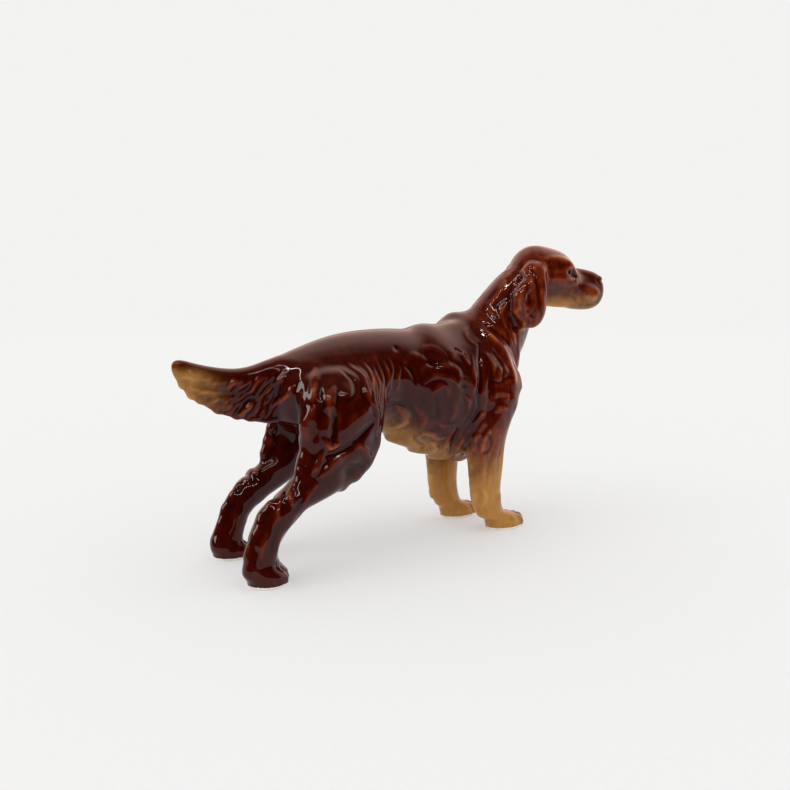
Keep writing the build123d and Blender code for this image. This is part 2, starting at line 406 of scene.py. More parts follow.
def model_haunch(side):
    """The lumps and folds of the thigh's long hair, and the ragged edges behind and before it."""
    ahead = 4.0 if side == LEFT else 0.0

    def at(*pairs):
        return [(x + ahead * np.clip((78 - z) / 25, 0, 1), z) for x, z in pairs]

    for pairs, *stroke in (
        (((-42, 64), (-44, 59), (-44, 53.5)), 11, 1.5),
        (((-33, 72), (-36, 67.5), (-37, 62.5)), 6.5, 1.0),
        (((-36, 78), (-39.5, 72.5), (-42, 67)), 6, 1.0),
        (((-37.5, 74), (-39, 70), (-38.5, 65)), 4, -1.0, 1.3),
        (((-35, 63), (-35.6, 57), (-36, 51.5)), 4.4, -1.9, 1.3),
        (((-39.5, 53), (-37, 49.5), (-33.5, 50.5)), 4, 0.9),
        (((-18, 57.5), (-25, 52.5), (-32, 48.5), (-39, 47)), 7, -1.3),
        (((-20, 63), (-27, 58.5), (-32, 55)), 9, 1.0),
        (((-39, 48.5), (-41.5, 44.5), (-44, 40.5)), 5, 1.0),
        (((-30, 47), (-36, 43), (-42, 39)), 5.5, 0.8),
        (((-28, 50.5), (-22, 47), (-17.5, 42.5)), 5, 0.9),
        (((-29, 43), (-24, 41), (-20, 37.5)), 4, -0.8, 1.5),
        (((-27, 77.5), (-24, 73), (-26, 68.5), (-30, 66)), 4, -0.7),
        (((-22, 79), (-18.5, 74), (-19.5, 68), (-16.5, 62)), 5, 0.8),
        (((-16, 80), (-14, 74), (-17, 67), (-15, 60), (-15.5, 52)), 3.6, 1.0),
    ):
        clay.press(at(*pairs), side, *stroke)
    # hair down the back of the thigh
    for x, z, length, y in ((-41.5, 55, 8, 19), (-43.5, 50, 9, 19.5), (-45, 44.5, 8, 19)):
        (x, z), (end_x, end_z) = at((x, z), (x - 1.5, z - length))
        strand = [(x + 2, y - 1, z + 1.5), (x - 0.6, y, 0.55 * z + 0.45 * end_z), (end_x + 1, y, end_z)]
        clay.lay(mirrored(strand, side), (1.4, 2.2, 0.9), 2.5)
    # tufts along the stifle
    for x, z in ((-13.2, 55.5), (-14, 49), (-17.2, 43.4), (-22, 39.2), (-27.4, 36.2)):
        (root_x, root_z), (x, z), (tip_x, tip_z) = at((x - 4, z + 4.6), (x - 0.8, z), (x - 0.6, z - 3.2))
        tuft = [(root_x, 19.5, root_z), (x, 19.5, z), (tip_x, 19.0, tip_z)]
        clay.lay(mirrored(tuft, side), (2.0, 2.7, 1.8), 3.5)


def model_hock(side):
    """Knots and thin skin folds over the hock, and a wavy edge down the back of the foot."""
    ahead = 5.4 if side == LEFT else 0.0
    for z, x, y in ((31, -59.5, 19.5), (25, -62.5, 18.5), (19, -65.5, 19.5), (13.5, -68, 19)):
        clay.swell(mirrored([(x + ahead, y, z + 1.5), (x + ahead, y, z - 1.5)], side), 3.2, 0.6)
    for pairs, width, height in (
        (((-50, 37), (-53, 33), (-52, 29.5)), 4, 0.7),
        (((-55, 33.5), (-57.5, 29), (-59, 25)), 3.4, 0.6),
        (((-53, 35), (-56, 30.5), (-57.5, 27)), 2.6, -0.5),
        (((-47, 33), (-50, 30), (-53, 26.5)), 3, -0.6),
        (((-58, 24), (-61, 17), (-62, 11)), 3.6, -0.5),
        (((-62.5, 22), (-64.5, 16), (-65.5, 11)), 3, 0.5),
        (((-56, 21), (-58.5, 15), (-58.8, 10)), 3, 0.45),
        (((-42, 37), (-46, 33.5), (-49, 29)), 4, 0.5),
    ):
        clay.press([(x + ahead, z) for x, z in pairs], side, width, height)


def model_paw(x, y, length, heel):
    """Four toes with their knuckles, and a pad behind."""
    front = x + length
    clay.carve([(front + 1.6, y - 8, 9.6), (front + 2.4, y, 9.6), (front + 1.6, y + 8, 9.6)],
               (4.4, 4.6, 4.4), 1.5)
    for across, reach in ((-3.7, 0.74), (-1.3, 0.98), (1.3, 0.98), (3.7, 0.74)):
        tip = x + length * reach
        toe = [(x + 0.5, y + 0.7 * across, 5.0), (tip - 3.4, y + across, 4.4),
               (tip - 1.2, y + 1.05 * across, 2.4)]
        clay.lay(toe, (1.6, 1.8, 1.5), 0.7)
    for across in (-2.6, 0, 2.6):
        cleft = [(x + 1.5, y + 0.8 * across, 6.6), (x + 0.62 * length, y + across, 5.4),
                 (x + 0.9 * length, y + 1.05 * across, 3.6), (front, y + 1.1 * across, 1.4)]
        clay.swell(cleft, 1.2, -1.1, 1.2)
    clay.lay([(x - heel, y, 4.4), (x - heel + 1.6, y, 2.4)], (1.6, 1.9), 1.2)


def model_flank(side):
    """Wavy hair that hangs in front of the thigh, and the folds of the tuck-up."""
    for x, top, foot, radius in ((-11.5, 79, 61, 1.2), (-9.0, 81, 58, 0.9), (-5.9, 80, 60.5, 1.2),
                                 (-3.4, 81.5, 63, 0.8), (0.4, 78, 67, 1.1)):
        lean = -3.5 if x < -4 else -2
        path = wavy([(x, top), (x - 0.3, 0.5 * (top + foot)), (x + lean, foot)], 0.6, 1.6, 0.25 * x, 17)
        clay.press(path, side, 2.5 * radius, 0.62)
    clay.press([(2, 60.5), (6, 57.5), (8, 53.5), (5, 50.5)], side, 7, 1.3)
    clay.press([(-5, 60), (-1, 62), (4, 62), (9, 58.5), (11, 53)], side, 4, -0.9, 1.5)
    clay.press([(10, 60), (15, 55), (16, 50)], side, 6, 0.7)


def model_ribs(side, rng):
    """Shallow waves in the hair of the back and ribs."""
    for x, z, size in ((8.5, 81, 5.4), (19, 82.6, 6.0), (31.5, 80.6, 4.4), (14, 75.2, 3.6),
                       (24.5, 75.6, 5.4), (20, 67.6, 4.0), (33, 69.5, 4.6)):
        lean = rng.uniform(-1.8, 1.8)
        crest = [(x - size, z - 0.5 * size + lean), (x - 0.5 * size, z + lean), (x + 0.3 * size, z + 0.4),
                 (x + size, z - 0.35 * size), (x + 1.15 * size, z - size)]
        path = wavy(crest, 0.35, 1.5, rng.uniform(0, 6))
        width = rng.uniform(4.0, 5.4)
        clay.press(path, side, width, rng.uniform(0.28, 0.45))
    for pairs, width, height in (
        (((3, 78), (7, 74.5), (9, 69)), 3.6, -0.5),
        (((12, 79), (18, 77), (25, 79)), 3.0, -0.45),
        (((13, 70), (19, 72.5), (27, 70), (31, 65)), 4.2, 0.5),
        (((37, 82), (36, 78), (38.5, 74)), 3.4, 0.35),
        (((33, 64), (36, 60), (36, 54)), 4, 0.5),
        (((27, 62), (29, 57), (28, 52)), 4.5, 0.4),
        (((18, 64), (20, 58), (22, 53)), 4.5, -0.4),
        (((38, 62), (38, 56), (35, 50)), 3, -0.6),
        (((22, 52), (27, 50), (31, 51)), 3.5, 0.5),
    ):
        clay.press(pairs, side, width, height)
    clay.swell(clay.on_side([(2, 84), (2.1, 84.1)], side), 1.8, -0.6, 2.0, 0, 1)


def model_belly(rng):
    """The feathered keel of the chest and belly, with tufts that point back and down."""
    for side in SIDES:
        clay.press([(16.5, 45.5), (19, 47.3), (23, 46.6), (26, 44.4), (30, 44.6)], side, 4, 1.1)
        clay.press([(14.5, 47), (17.5, 43.4), (21, 41.5), (22.5, 38.5)], side, 3.2, -1.4, 1.3)
        clay.press([(24, 42.6), (27, 40.5), (29, 37)], side, 4.4, 0.8)
        clay.press([(34, 49), (34.5, 42), (36.5, 35)], side, 3, -1.6, 1.3)
        clay.press([(38.5, 45), (38.5, 40), (40, 34)], side, 3.4, 1.0)
        clay.press([(31, 47), (31.5, 42), (33, 37)], side, 3.0, 0.6)
    for x, z in ((12, 45.6), (24, 39.6), (35, 35.2), (46, 33.2)):
        clay.lay([(x + 6, 0, z + 1.2), (x + 1, rng.uniform(-0.6, 0.6), z - 0.2), (x - 3.6, 0, z - 0.3)],
                 (2.4, 2.9, 1.8), 3.0)


def model_shoulder(side, rng):
    """The groove behind the shoulder, the shoulder blade, and the tufts of the elbow."""
    if side == LEFT:
        clay.lay(mirrored([(42, 8, 88), (50, 8, 91), (57, 7, 91)], side), (3, 5.0, 3), 7)
    for pairs, *stroke in (
        (((47, 84), (43.6, 77), (42.4, 70), (40.6, 63), (41.4, 56), (38.5, 50.5)), 4.0, -1.4, 1.4),
        (((41, 80), (38.8, 74), (39.4, 68), (37.2, 63)), 3, 0.5),
        (((46.4, 71), (44.2, 65), (45.2, 59), (43.4, 53)), 3.4, 0.5),
        (((52, 94), (56, 90), (61, 86), (66.5, 81), (70, 75), (71.5, 69)), 5, -0.55),
        (((47, 91.5), (43.5, 89.5), (42.5, 86), (45, 83.4)), 3.2, 0.35),
        (((50.5, 91), (54.5, 88), (58, 83.5), (62.5, 79)), 3.0, 0.4),
        (((54, 88), (59, 82), (62, 75), (62.5, 67)), 8, 0.7),
        (((48.5, 80), (51, 75.5), (49.5, 70)), 3.6, 0.6),
        (((53, 80), (56, 74.5), (54.4, 68)), 3.6, -0.5),
        (((48, 68.5), (53, 67.5), (58, 69.5), (63, 68.5)), 3, -0.5),
        (((48, 61), (52, 62.6), (56.5, 61.5), (55, 58.6)), 3.2, 0.4),
        (((49, 55), (53, 56.4), (57, 55.4)), 3.6, 0.4),
        (((66, 76), (68.5, 70), (68.5, 63)), 3.0, 0.5),
    ):
        clay.press(pairs, side, *stroke)
    for pairs, radius in (
        (((44, 54), (40.5, 50), (38.5, 45.5)), 1.7),
        (((45, 50), (41.5, 46), (40, 41)), 1.7),
        (((43, 45), (41, 40), (40.5, 35)), 1.6),
        (((46.5, 47), (44.5, 42), (43.5, 37)), 1.3),
    ):
        clay.side_lock(wavy(pairs, 0.4, 1, rng.uniform(0, 6), 9), side, radius, 0.5, 1.2)


def model_foreleg(side, rng):
    """Feathering down the back of the leg, and the wrist."""
    ahead = -2.6 if side == LEFT else 0.0
    for z, x in ((40, 40.8), (35.5, 41.6), (31, 42.3), (26.5, 42.8), (22, 43.3), (17.5, 43.9),
                 (13.5, 44.9)):
        y = 13.6 + rng.uniform(-1.4, 1.4)
        strand = [(x + 2.8 + ahead, y, z + 3), (x + 0.9 + ahead, y, z), (x + 0.3 + ahead, y, z - 3)]
        clay.lay(mirrored(strand, side), (1.0, 1.6, 0.6), 0.9)
    for pairs, width, height in (
        (((45, 46), (48, 42), (47, 37.5), (43.5, 37)), 3, -0.7),
        (((54.5, 44), (53.5, 34), (54, 22)), 3, -0.4),
        (((50, 40), (48.5, 31), (48, 22)), 3.4, -0.45),
        (((57, 40), (57.5, 30), (57, 20)), 4, 0.35),
        (((46, 21), (47.5, 17), (47, 13)), 3.2, 0.6),
        (((53, 19), (56, 17), (57, 13)), 4, 0.5),
    ):
        clay.press([(x + ahead, z) for x, z in pairs], side, width, height)


def model_neck(rng):
    """Long hair that runs from behind the ears down the neck and over the chest."""
    for side in SIDES:
        for pairs, width, height in (
            (((76, 118), (69, 111), (62, 104), (58.5, 98), (60, 93)), 3.6, 0.4),
            (((74, 111.5), (69, 105.5), (64, 99.5), (62.5, 93), (66, 86)), 3.4, 0.4),
            (((74, 106), (70, 101), (67, 94.5), (68, 87.5), (71, 80)), 3.4, 0.45),
            (((75.5, 102), (72, 95), (71.3, 88), (73, 80), (73.5, 72)), 3.2, 0.45),
            (((72, 110), (66, 103), (61, 96.5), (63, 89)), 2.8, -0.35),
            (((72.5, 104.5), (68.5, 98), (65.5, 91), (68.5, 83)), 2.6, -0.4),
            (((73.5, 99), (70, 91.5), (70.6, 84), (72.3, 76)), 2.4, -0.35),
        ):
            clay.press(wavy(pairs, 0.6, 2.0, rng.uniform(0, 6), 17), side, width, height)
        for y, top in ((3.6, 88), (1.2, 84)):
            for z in (top, top - 9, top - 18, top - 27):
                x = 80.0 - 0.055 * (88 - z) - 0.0045 * max(0, 72 - z) ** 2
                strand = [(x - 4.4, y, z + 3), (x - 3.2, y + 0.4, z - 2), (x - 3.4, y, z - 7)]
                clay.lay(mirrored(strand, side), (1.2, 2.0, 0.6), 1.2)


# The head's own directions: it turns to the dog's right about the occiput, x and y
OCCIPUT = (77.0, -1.0)
HEAD_YAW = math.radians(-15)
HEAD_AHEAD = np.array((math.cos(HEAD_YAW), math.sin(HEAD_YAW), 0))
HEAD_LEFT = np.array((-math.sin(HEAD_YAW), math.cos(HEAD_YAW), 0))
EYE_SPOT = (24.4, 9.3, 115.4)      # along, out and z of the eyeball's middle
EYE_RADIUS = 1.6
NOSE_SPOT = (47.0, 111.2)          # along and z of the nose pad's middle


def on_head(*places, side=RIGHT):
    """Points from (along the head, out to the side, z)."""
    base = np.array((*OCCIPUT, 0))
    return np.array([base + along * HEAD_AHEAD + side * out * HEAD_LEFT + (0, 0, z)
                     for along, out, z in places])


def head_skin(pairs, side):
    """Points on the skin of the side of the head, from (along, z) pairs."""
    starts = on_head(*[(along, 24, z) for along, z in pairs], side=side)
    return np.array([clay.touch(start, -side * HEAD_LEFT) for start in starts])


def head_press(pairs, side, width, height, sharp=2.0, taper=0.5):
    """A soft ridge or valley on one side of the head, through (along, z) pairs."""
    path = head_skin(curve_through(pairs), side)
    clay.swell(path, width / 2, height, sharp, taper, steps=1)


def model_head(side):
    """Brow, eye, cheek, lips and jaw of one side."""
    head_press([(11, 121.5), (18, 121.8), (24, 120.6), (27.5, 118.6)], side, 5.4, 0.65)
    head_press([(12, 117.5), (18, 117.8), (23, 118.2)], side, 5.5, -0.35)
    head_press([(13, 112.2), (19, 111.6), (25, 110.8), (30, 110.5)], side, 7, 0.5)
    head_press([(12, 106.5), (18, 105), (24, 104.5)], side, 13, -1.3, 2.0, 0.2)
    head_press([(15, 101), (22, 100), (28, 99.5)], side, 4, 0.8)
    # eye, between lids
    clay.carve(on_head((23.8, 11.6, 115.6), (26, 10.9, 115.2), (28, 9.8, 113.8), side=side),
               (1.0, 1.8, 1.2), 1.2)
    centre = on_head(EYE_SPOT, EYE_SPOT, side=side) + np.array([[0, 0, 0], [0.05, 0, 0]])
    clay.lay(centre, (EYE_RADIUS, EYE_RADIUS), 0.3)
    head_press([(21.8, 115.4), (23.6, 117.2), (25.8, 117), (27.4, 115.4)], side, 1.8, 0.4)
    head_press([(21.6, 114.4), (23.4, 112.9), (25.8, 112.5), (28, 113)], side, 2.2, 0.5)
    head_press([(22.5, 111.6), (25.5, 110.6), (28.6, 111.4)], side, 2.2, -0.35)
    head_press([(28.4, 114.6), (30, 112.5), (31, 110)], side, 2.2, -0.4)
    # lips: a deep rounded flew, its edge, and the jaw under it
    head_press([(34.5, 107.6), (38.5, 106), (42, 106)], side, 11, 1.2)
    head_press([(34, 104.2), (38, 103.4), (41.5, 103.8)], side, 6, 0.7)
    head_press([(31.6, 111), (30, 108.5), (29.4, 105), (31, 101.8)], side, 4.5, -0.2)
    head_press([(31, 101.6), (34.5, 100.3), (39, 100.3), (43, 101.3), (46, 103.6)], side, 1.5, -0.6)
    head_press([(27, 104.5), (29.6, 103.2), (31.4, 101.2)], side, 1.6, -0.8)
    head_press([(28.5, 100.8), (30.3, 99.9), (32, 99.8)], side, 1.2, -0.7)
    # nostril
    clay.carve(on_head((48.2, 1.6, 111.3), (47.6, 2.6, 111.6), (46.4, 3.6, 111.9), side=side),
               (0.55, 0.7, 0.4), 0.4)
    head_press([(43.5, 112.8), (44, 110.4), (46, 108.8)], side, 1.4, -0.45)


def model_face():
    """What lies on the middle line of the face: the stop, the bridge and the nose."""
    clay.carve(on_head((32.6, -6, 120.8), (33.4, 0, 120.4), (32.6, 6, 120.8)), (2.4, 2.2, 2.4), 1.5)
    clay.lay(on_head((33.5, 0, 115.1), (38, 0, 114.3), (43, 0, 113.2), (46, 0, 112)),
             (2.4, 2.6, 2.6, 2.2), 2.2)
    clay.swell(on_head((10, 0, 127.8), (18, 0, 127.4), (26, 0, 124.4)), 1.6, -0.25)
    clay.lay(on_head((46.3, -1.6, 111.6), (46.6, 0, 112), (46.3, 1.6, 111.6)), (2.2, 2.4, 2.2), 0.5)
    clay.carve(on_head((49.6, 0, 110.4), (48.7, 0, 107.2), (47.4, 0, 104)), (0.45, 0.5, 0.4), 0.4)


def model_ear(side):
    """A folded ear: a rolled front edge, a full back edge, and wavy hair between."""
    def at(*places):
        return on_head(*places, side=side)

    full = 0.7 if side == LEFT else 1.0
    if side == LEFT:
        clay.carve(at((-0.5, 13.5, 121), (-1.0, 14, 116.5), (-2.6, 15, 111)), (4.6, 4.0, 1.6), 1.5)
    clay.lay(at((3, 13, 111), (-1.2, 14.2, 108.5), (-3.8, 14.6, 104.5), (-3.4, 14.4, 99.5)),
             (2.0 * full, 2.8 * full, 3.0 * full, 2.2), 2.5)
    if side == RIGHT:
        clay.lay(at((1.5, 10.4, 115.6), (4, 11, 117), (6, 11, 116)), (1.6, 2.0, 1.6), 3.5)
    clay.carve(at((-0.5, 15.5, 119.5), (4, 15.5, 121.4), (9, 15.5, 120.6)), (2.6, 2.6, 2.6), 2.0)
    clay.carve(at((13.8, 16.5, 121), (13.2, 16.5, 114), (13.6, 16.5, 107), (14.4, 16.5, 101)),
               (4.8, 4.0, 2.8, 1.2), 1.5)
    clay.carve(at((-4.5, 14, 91), (-6.5, 14, 95)), (2.2, 1.4), 1.5)
    clay.carve(at((9.5, 14, 89), (11.5, 14, 92.5)), (2.0, 1.6), 1.5)
    for pairs, width, height in (
        (((5.6, 116), (6.2, 110), (7.4, 103), (7.8, 97.5), (5.6, 93.5)), 3.0, 0.45),
        (((3.8, 114.5), (3.8, 109), (4.8, 103), (4.8, 98.5)), 2.6, -0.35),
        (((1.4, 115), (1.6, 111), (2.6, 107), (1.8, 103.5)), 3.0, 0.4),
        (((-0.4, 111), (-1.2, 107.5), (-0.6, 104), (0.6, 100.5)), 3.6, -0.5),
        (((-2, 109), (-4.6, 105), (-5, 101), (-3.4, 97)), 2.8, 0.35),
        (((-2.4, 105), (-3, 102), (-1.4, 99.5), (0.8, 100.6), (0.6, 103)), 1.9, 0.5),
        (((-2, 98.5), (-0.4, 95.5), (2.2, 94)), 2.0, 0.5),
        (((0.6, 98.5), (1.6, 96), (3.6, 95)), 1.8, -0.5),
        (((3.4, 100), (4.8, 97), (4, 93.5), (4.6, 91.5)), 2.0, 0.55),
        (((6.6, 100.5), (6.2, 97), (5.2, 94.5)), 1.8, -0.4),
        (((1.2, 117.6), (2.4, 115.6), (1.6, 113.4)), 1.8, -0.4),
    ):
        head_press(pairs, side, 1.15 * width, 0.65 * height)


def roughen(box_low, box_high, size, height, rng):
    """Gentle random swells of the skin inside a box, fading towards its faces."""
    part, axes = clay.window(box_low, box_high)
    shape = clay.field[part].shape
    counts = [max(4, int(n * VOXEL / size) + 3) for n in shape]
    coarse = rng.uniform(-1, 1, counts).astype(np.float32)
    for axis in range(3):
        places = np.linspace(0, counts[axis] - 1.001, shape[axis])
        i = places.astype(int)
        t = places - i
        t = (t * t * (3 - 2 * t)).reshape([-1 if a == axis else 1 for a in range(3)])
        low, high = np.take(coarse, i, axis), np.take(coarse, i + 1, axis)
        coarse = (low + (high - low) * t).astype(np.float32)
    fade = 1
    for axis, low, high in zip(axes, box_low, box_high):
        fade = fade * np.clip(np.minimum(axis - low, high - axis) / 8, 0, 1)
    clay.field[part] -= (height * fade * coarse).astype(np.float32)


# Each paw's x and y, its length ahead of that point, and its heel behind it
PAWS = ((-60.5, -19, 8.2, 6.5), (-57.3, 19, 8.2, 6.5), (62.8, -13.6, 10.6, 8), (58.2, 13.6, 10.6, 8))


def model_coat():
    """All the strokes, in the order in which they lie over each other."""
    rng = np.random.default_rng(7)
    model_tail(rng)
    for side in SIDES:
        model_haunch(side)
        model_hock(side)
        model_flank(side)
        model_ribs(side, rng)
        model_shoulder(side, rng)
        model_foreleg(side, rng)
    model_belly(rng)
    model_neck(rng)
    clay.swell([(27, 0, 91.6), (33, 0, 92), (39, 0, 92.8)], 9, 0.5)
    crown = np.array([clay.touch((x, 0, 120), (0, 0, -1)) for x in (19, 24, 29)])
    clay.swell(crown, 10, -0.45)
    model_face()
    for side in SIDES:
        model_head(side)
        model_ear(side)
    roughen((-50, -30, 30), (-6, 30, 84), 6.5, 0.62, rng)
    roughen((-2, -30, 42), (44, 30, 86), 6.0, 0.42, rng)
    roughen((44, -30, 46), (82, 30, 92), 5.5, 0.42, rng)
    roughen((-74, -30, 0), (-40, 30, 44), 5.5, 0.45, rng)
    for paw in PAWS:
        model_paw(*paw)


def finish_clay():
    """Opens the vent, softens the skin as glaze does, and trims it at the table and the sides."""
    clay.carve([(VENT_X, 0, 40), (VENT_X, 0, 53)], (VENT_RADIUS, VENT_RADIUS), 0.4)
    clay.field = blur(clay.field, GLAZE_BLUR / VOXEL)
    heights = (clay.low[2] + VOXEL * np.arange(clay.count[2])).astype(np.float32)[None, None, :]
    clay.field -= np.where(heights < SOLE_TOP, np.float32(SOLE_LEDGE), 0)
    clay.field = np.maximum(clay.field, -heights)
    widths = (clay.low[1] + VOXEL * np.arange(clay.count[1])).astype(np.float32)[None, :, None]
    clay.field = -smooth_min(-clay.field, HALF_WIDTH - np.abs(widths), 1.5)


join_parts()
model_coat()
finish_clay()


# Pieces
points, quads = clay.skin()
normals = clay.normals(points)


def spread(values, rounds):
    """Evens values out over the skin, a face at a time."""
    corners = quads.ravel()
    share = np.bincount(corners, minlength=len(points))[:, None]
    for _ in range(rounds):
        faces = values[quads].mean(1)
        total = [np.bincount(corners, np.repeat(column, 4), len(points)) for column in faces.T]
        values = np.stack(total, 1) / share
    return values


def face_owners():
    """For each face of the skin, the number of its piece: the nearest casting, or the sole under it."""
    nearness = spread(np.stack([clay.sample(parts[name], points) for name in GLAZED], 1), 12)
    owner = nearness[quads].mean(1).argmin(1)
    is_sole = points[quads][:, :, 2].mean(1) < SOLE_TOP
    is_leg = owner >= GLAZED.index(LEG_NODES[0])
    return np.where(is_sole & is_leg, owner + len(LEGS), owner)


def spot(centre, radius, soft):
    """1 inside a ball, fading to 0 over soft outside it."""
    gap = np.linalg.norm(points - np.array(centre), axis=1) - radius
    return np.clip(1 - gap / soft, 0, 1)


def ramp(values, start, end):
    """0 up to start, 1 from end, and smooth between; end may be below start."""
    t = np.clip((values - start) / (end - start), 0, 1)
    return t * t * (3 - 2 * t)


# The lower edge of the keel, x and z
KEEL = ((-10, 52), (0, 50), (10, 46), (20, 41), (30, 36), (40, 33.5))


def paint_ridge():
    """How proud the skin is of the skin round it."""
    fine = clay.sample(blur(clay.field, 0.9 / VOXEL), points)
    broad = clay.sample(blur(clay.field, 2.4 / VOXEL), points)
    return np.clip(0.49 + 2.0 * (fine - 0.08 * broad), 0, 1)


def paint_dark():
    """The eyes, the corners of the lips, the toes and the nose."""
    dark = np.zeros(len(points))
    eye_ahead = (EYE_SPOT[0] + 0.4, EYE_SPOT[1] + 0.6, EYE_SPOT[2])
    eye_corner = (EYE_SPOT[0] + 3.2, 9.6, 114)
    for side in SIDES:
        eye, corner, lip = on_head(eye_ahead, eye_corner, (31, 7.4, 100.6), side=side)
        dark += spot(eye, EYE_RADIUS - 0.5, 0.9) + 0.4 * spot(corner, 1.6, 2.5)
        dark += 0.8 * spot(lip, 0.8, 1.4)
    for paw_x, paw_y in ((71.5, -13.6), (67, 13.6)):
        for edge_y in (paw_y - 4.5, paw_y + 4.5):
            dark += 0.6 * spot((paw_x, edge_y, 4.8), 2.2, 4.2)
            dark += 0.3 * spot((paw_x - 12, edge_y, 16), 1.5, 3.5)
    nose = on_head((NOSE_SPOT[0] + 0.6, 0, NOSE_SPOT[1] + 0.6))[0]
    dark += 0.85 * spot(nose, 2.8, 1.6)
    return np.clip(dark, 0, 1)


def paint_masks():
    """How proud the skin is, and where the glaze is tan, dark or warm."""
    x, z = points[:, 0], points[:, 2]
    along = (points - (*OCCIPUT, 0)) @ HEAD_AHEAD
    above_keel = z - np.interp(x, *zip(*KEEL))
    below_rod = np.interp(x, *zip(*TAIL_TOP)) - z
    fore = ramp(x, 30, 38) * ramp(z - 0.8 * np.clip(x - 50, -8, 8), 43, 19)
    belly = ramp(above_keel, 9, -1) * ramp(x, -8, 0) * ramp(x, 46, 34)
    tuck = sum(spot((5, 14 * side, 50), 2, 8) for side in SIDES)
    tail = ramp(x, -64, -86) * ramp(below_rod, 0.5, 6.0) * ramp(z, 50, 56)
    chin = ramp(z, 107.5, 99.5) * ramp(along, 10, 16) * (1 - 0.55 * ramp(along, 28, 35))
    tan = fore + 0.6 * belly + 0.18 * tuck + 0.75 * tail + 0.85 * chin
    chest = ramp(x, 40, 58) * ramp(z, 40, 60)
    elbow = ramp(x, 38, 48) * ramp(z, 60, 44)
    ribs = ramp(above_keel, 16, 4) * ramp(x, -8, 0)
    flew = np.minimum(sum(spot(on_head((39, 6, 104), side=side)[0], 2.5, 4) for side in SIDES), 1)
    warm = (0.2 + 0.5 * chest + 0.3 * ramp(x, 58, 80) + 0.3 * tail + 0.3 * flew
            - 0.35 * ramp(along, 30, 40) + 0.8 * elbow + 0.5 * ribs)
    return {"ridge": paint_ridge(), "tan": np.clip(tan, 0, 1), "dark": paint_dark(),
            "warm": np.clip(warm, 0, 1.4)}


def skin_mesh(name, count, faces):
    """A mesh of quads over the first count vertices, whose places aren't set yet."""
    mesh = bpy.data.meshes.new(name)
    mesh.vertices.add(count)
    mesh.loops.add(faces.size)
    mesh.loops.foreach_set("vertex_index", faces.astype(np.int32).ravel())
    mesh.polygons.add(len(faces))
    mesh.polygons.foreach_set("loop_start", np.arange(0, faces.size, 4, dtype=np.int32))
    return mesh


def close_cut(mesh):
    """Closes the open edges that a cut leaves, with a fan of faces across each."""
    bm = bmesh.new()
    bm.from_mesh(mesh)
    rim = [e for e in bm.edges if e.is_boundary]
    caps = bmesh.ops.holes_fill(bm, edges=rim, sides=0)["faces"]
    bmesh.ops.poke(bm, faces=caps)
    bm.to_mesh(mesh)
    bm.free()


def shade_smooth(mesh, skin_normals, skin_loops):
    """Smooth shading; the skin takes the clay's own normals, so that no cut shows."""
    mesh.polygons.foreach_set("use_smooth", np.ones(len(mesh.polygons), bool))
    corners = np.empty(len(mesh.loops) * 3, np.float32)
    mesh.corner_normals.foreach_get("vector", corners)
    corners = corners.reshape(-1, 3)
    loops = np.empty(len(mesh.loops), np.int32)
    mesh.loops.foreach_get("vertex_index", loops)
    corners[:skin_loops] = skin_normals[loops[:skin_loops]]
    mesh.normals_split_custom_set(corners)


def make_piece(name, faces, material):
    """A closed mesh from some of the skin's faces, with the cut closed across inside."""
    used, local = np.unique(quads[faces], return_inverse=True)
    local = local.reshape(-1, 4)
    mesh = skin_mesh(name, len(used), local)
    mesh.vertices.foreach_set("co", ((points[used] + DATUM) * MM).astype(np.float32).ravel())
    mesh.update(calc_edges=True)
    close_cut(mesh)
    shade_smooth(mesh, normals[used], local.size)
    for key, values in masks.items():
        attribute = mesh.attributes.new(key, "FLOAT", "POINT")
        full = np.zeros(len(mesh.vertices), np.float32)
        full[:len(used)] = values[used]
        attribute.data.foreach_set("value", full)
    mesh.materials.append(material)
    return add_object(name, mesh)


# Materials

